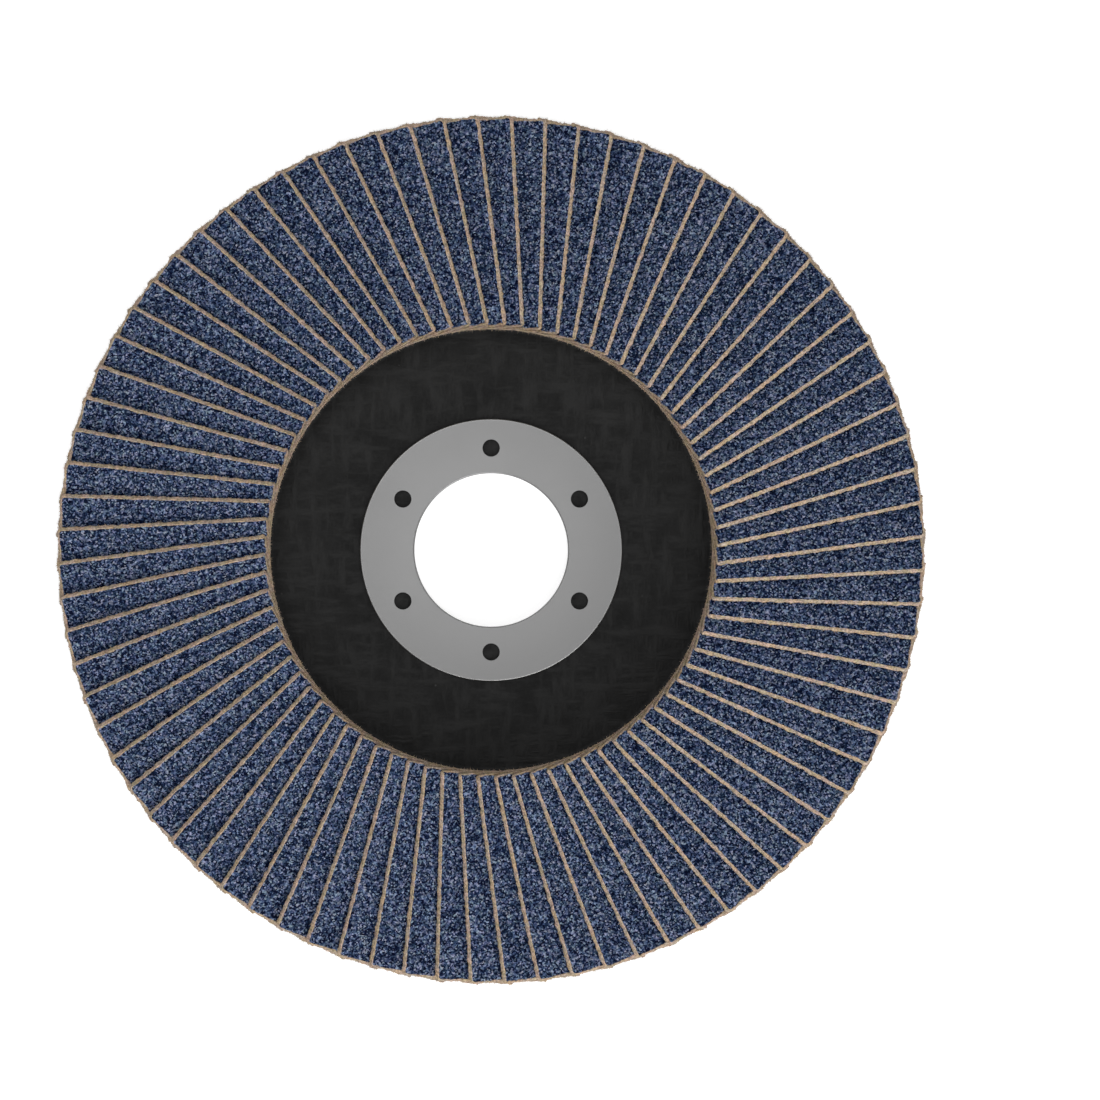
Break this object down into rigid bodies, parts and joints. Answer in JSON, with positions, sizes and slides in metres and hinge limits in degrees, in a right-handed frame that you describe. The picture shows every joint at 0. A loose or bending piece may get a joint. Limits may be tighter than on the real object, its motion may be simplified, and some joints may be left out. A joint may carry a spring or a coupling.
{
  "type": "flap disc",
  "caption": "Round abrasive flap disc with overlapping blue grained cloth flaps on a black depressed-centre plate and a steel arbor ring.",
  "frame": {"origin": "on the arbor bore's axis, in the plane of the plate's back, which the disc rests on", "axes": "+Z along the bore's axis, from the grinder's side to the abrasive face; +X and +Y in the plane of the disc, with one of the ring's small holes on +Y"},
  "size_m": [0.125, 0.125, 0.0155],
  "materials": {
    "plate": "pressed glass-fibre laminate in black resin, matt, with a faint woven print",
    "ring": "satin plated sheet steel",
    "adhesive": "cured brown resin adhesive",
    "flaps": "coated abrasive cloth, dark blue grain on tan cotton with frayed cut edges"
  },
  "bodies": {
    "root": {"backing_plate": "plate", "arbor_ring": "ring", "adhesive_bed": "adhesive", "flap_pair_01": "flaps", "flap_pair_02": "flaps", "flap_pair_03": "flaps", "flap_pair_04": "flaps", "flap_pair_05": "flaps", "flap_pair_06": "flaps", "flap_pair_07": "flaps", "flap_pair_08": "flaps", "flap_pair_09": "flaps", "flap_pair_10": "flaps", "flap_pair_11": "flaps", "flap_pair_12": "flaps", "flap_pair_13": "flaps", "flap_pair_14": "flaps", "flap_pair_15": "flaps", "flap_pair_16": "flaps", "flap_pair_17": "flaps", "flap_pair_18": "flaps", "flap_pair_19": "flaps", "flap_pair_20": "flaps", "flap_pair_21": "flaps", "flap_pair_22": "flaps", "flap_pair_23": "flaps", "flap_pair_24": "flaps", "flap_pair_25": "flaps", "flap_pair_26": "flaps", "flap_pair_27": "flaps", "flap_pair_28": "flaps", "flap_pair_29": "flaps", "flap_pair_30": "flaps", "flap_pair_31": "flaps", "flap_pair_32": "flaps", "flap_pair_33": "flaps", "flap_pair_34": "flaps", "flap_pair_35": "flaps", "flap_pair_36": "flaps", "flap_pair_37": "flaps", "flap_pair_38": "flaps", "flap_pair_39": "flaps", "flap_pair_40": "flaps"}
  },
  "joints": []
}
